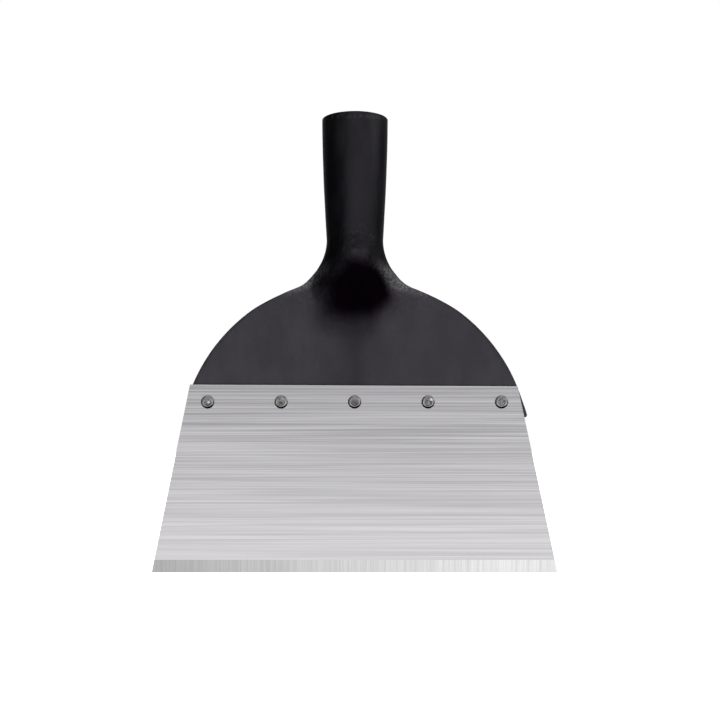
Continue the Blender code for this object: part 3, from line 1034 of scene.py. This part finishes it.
def rivet_material():
    """Plain pressed steel: a dull, speckled face, polish and painted highlights, and a painted crescent of
    shade under its head.
    """
    nodes = MaterialNodes("rivet_steel")
    speckle = nodes.noise(nodes.place, scale=1300.0, detail=4.0, roughness=0.65)
    patch = nodes.noise(nodes.place, scale=420.0)
    tone = nodes.blend((speckle, 0.6), (patch, 0.4))
    share = nodes.remap(tone, NOISE_BAND)
    bright = nodes.mix(share, RIVET_DARK, RIVET_LIGHT)
    dull = nodes.mix(share, RIVET_FACE_DARK, RIVET_FACE_LIGHT)
    steel = nodes.mix(nodes.mask("face"), bright, dull)
    # Polish and painted highlights: past the dent and on the upper rim.
    brightened = nodes.mix(nodes.mask("polish"), steel, RIVET_POLISH_AND_HIGHLIGHT)
    # Painted shade in a dark crescent under the front head.
    nodes.feed(nodes.inputs["Base Color"], nodes.mix(nodes.mask("shade_crescent"), brightened, SHADE_CRESCENT_BLACK))
    nodes.inputs["Metallic"].default_value = 1.0
    nodes.feed(nodes.inputs["Roughness"], nodes.remap(tone, WIDE_NOISE_BAND, (0.46, 0.32)))
    nodes.feed(nodes.inputs["Normal"], nodes.bump(speckle, 0.35, distance=0.00008))
    return nodes.material


# ---------------------------------------------------------------- assembly


def place_piece(item, node, slot, *materials):
    """Give a piece its materials and let it stand for a node of the solid model."""
    item.data.materials.clear()
    for material in materials:
        item.data.materials.append(material)
    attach(item, "root")
    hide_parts(node)


cutter = hole_cutter()
place_piece(make_head(cutter), "socket_head", "black_enamel", enamel_material())
blade = make_blade(cutter)
place_piece(blade, "blade", "brushed_steel", blade_material(), ground_material())
for face in blade.data.polygons:
    face.material_index = 1 if is_ground(face) else 0
bpy.data.objects.remove(cutter)
rivet_steel = rivet_material()
for index, ((across, height), dent) in enumerate(zip(rivet_places(), DENTS), start=1):
    place_piece(make_rivet(index, across, height, dent), f"rivet_{index}", "rivet_steel", rivet_steel)

# ---------------------------------------------------------------- stage, light and camera

# The camera's distance from the plate, the width that it sees there, and its place.
CAMERA_DISTANCE = 1.0
VIEW_WIDTH = 0.3744
SENSOR_WIDTH = 36.0
CAMERA_RISE = -0.1263
CAMERA_SIDE = 0.00265
CLIP_START = 0.01
CLIP_END = 50.0

FLOOR_HALF_WIDTH = 1.3
OVERHEAD_WIDTH = 4.0
OVERHEAD_POWER = 260.0
OVERHEAD_HEIGHT = 1.6

# Soft panels of the light tent: azimuth (0 is in front, 90 right), elevation, half width,
# half height and soft border in degrees, then brightness.
PANELS = [
    (12.0, -14.0, 38.0, 17.0, 9.0, 1.22),
    (5.0, 48.0, 40.0, 12.0, 14.0, 0.28),
    (82.0, 29.0, 15.0, 8.0, 10.0, 0.95),
    (-45.0, -36.0, 20.0, 8.0, 14.0, 0.70),
    (135.0, -25.0, 25.0, 10.0, 14.0, 0.60),
    (180.0, 20.0, 30.0, 20.0, 20.0, 0.20),
    (0.0, 82.0, 180.0, 12.0, 16.0, 0.40),
]
DIM_AIR = 0.004  # brightness between the panels


def make_floor():
    """Make the pale floor under the cutting edge; it does not colour the light on the object."""
    half = FLOOR_HALF_WIDTH
    shape = bmesh.new()
    corners = [(-half, -half), (half, -half), (half, half), (-half, half)]
    shape.faces.new([shape.verts.new((x, y, cad_low.z)) for x, y in corners])
    floor = finish_mesh("studio_floor", shape)
    nodes = MaterialNodes("studio_paper")
    paper = nodes.mix(nodes.noise(nodes.place, scale=3.0), PAPER_DARK, PAPER_LIGHT)
    nodes.feed(nodes.inputs["Base Color"], paper)
    nodes.inputs["Roughness"].default_value = 0.9
    floor.data.materials.append(nodes.material)
    floor.visible_diffuse = False
    floor.visible_glossy = False
    floor.visible_shadow = False
    return floor


def panel_share(nodes, offset, half, border):
    """Return 1 within half degrees of a panel's middle, fading to 0 across its border."""
    limits = (math.radians(half), math.radians(half + border))
    return nodes.remap(nodes.math("ABSOLUTE", offset), limits, (1.0, 0.0))


def make_world():
    """Make a white surround for the camera, and a light tent of soft panels for everything else."""
    world = bpy.data.worlds.new("studio")
    bpy.context.scene.world = world
    world.use_nodes = True
    world.node_tree.nodes.clear()
    nodes = Nodes(world.node_tree)
    axes = nodes.split(nodes.add("ShaderNodeTexCoord").outputs["Generated"])
    azimuth = nodes.math("ARCTAN2", axes["X"], nodes.math("MULTIPLY", axes["Y"], -1.0))
    elevation = nodes.math("ARCSINE", axes["Z"])
    total = DIM_AIR
    for turn, rise, half_wide, half_high, border, strength in PANELS:
        turned = nodes.math("SUBTRACT", azimuth, math.radians(turn))
        wrapped = nodes.math("WRAP", turned, math.pi, -math.pi)
        risen = nodes.math("SUBTRACT", elevation, math.radians(rise))
        sideways = panel_share(nodes, wrapped, half_wide, border)
        upwards = panel_share(nodes, risen, half_high, border)
        total = nodes.math("MULTIPLY_ADD", nodes.math("MULTIPLY", sideways, upwards), strength, total)
    seen = nodes.add("ShaderNodeLightPath").outputs["Is Camera Ray"]
    background = nodes.add("ShaderNodeBackground")
    background.inputs["Color"].default_value = (1.0, 1.0, 1.0, 1.0)
    nodes.feed(background.inputs["Strength"], nodes.math("MAXIMUM", total, seen))
    nodes.feed(nodes.add("ShaderNodeOutputWorld").inputs["Surface"], background.outputs[0])


def make_overhead(floor):
    """Make the large soft light that falls on the floor alone."""
    light = bpy.data.lights.new("overhead", "AREA")
    light.shape = "SQUARE"
    light.size = OVERHEAD_WIDTH
    light.energy = OVERHEAD_POWER
    item = bpy.data.objects.new("overhead", light)
    bpy.context.scene.collection.objects.link(item)
    item.location = (0.0, 0.0, OVERHEAD_HEIGHT)
    lit = bpy.data.collections.new("lit_by_overhead")
    lit.objects.link(floor)
    item.light_linking.receiver_collection = lit


def make_camera():
    """Make the camera, level and square to the blade."""
    data = bpy.data.cameras.new("camera")
    data.sensor_width = SENSOR_WIDTH
    data.lens = SENSOR_WIDTH * CAMERA_DISTANCE / VIEW_WIDTH
    data.clip_start = CLIP_START
    data.clip_end = CLIP_END
    camera = bpy.data.objects.new("camera", data)
    bpy.context.scene.collection.objects.link(camera)
    middle = frame_at(PLATE_END_LEVEL)[0].y
    camera.location = (CAMERA_SIDE, middle - CAMERA_DISTANCE, CAMERA_RISE)
    camera.rotation_euler = (math.pi / 2, 0.0, 0.0)
    bpy.context.scene.camera = camera


make_world()
make_overhead(make_floor())
make_camera()
bpy.context.scene.view_settings.view_transform = "Standard"
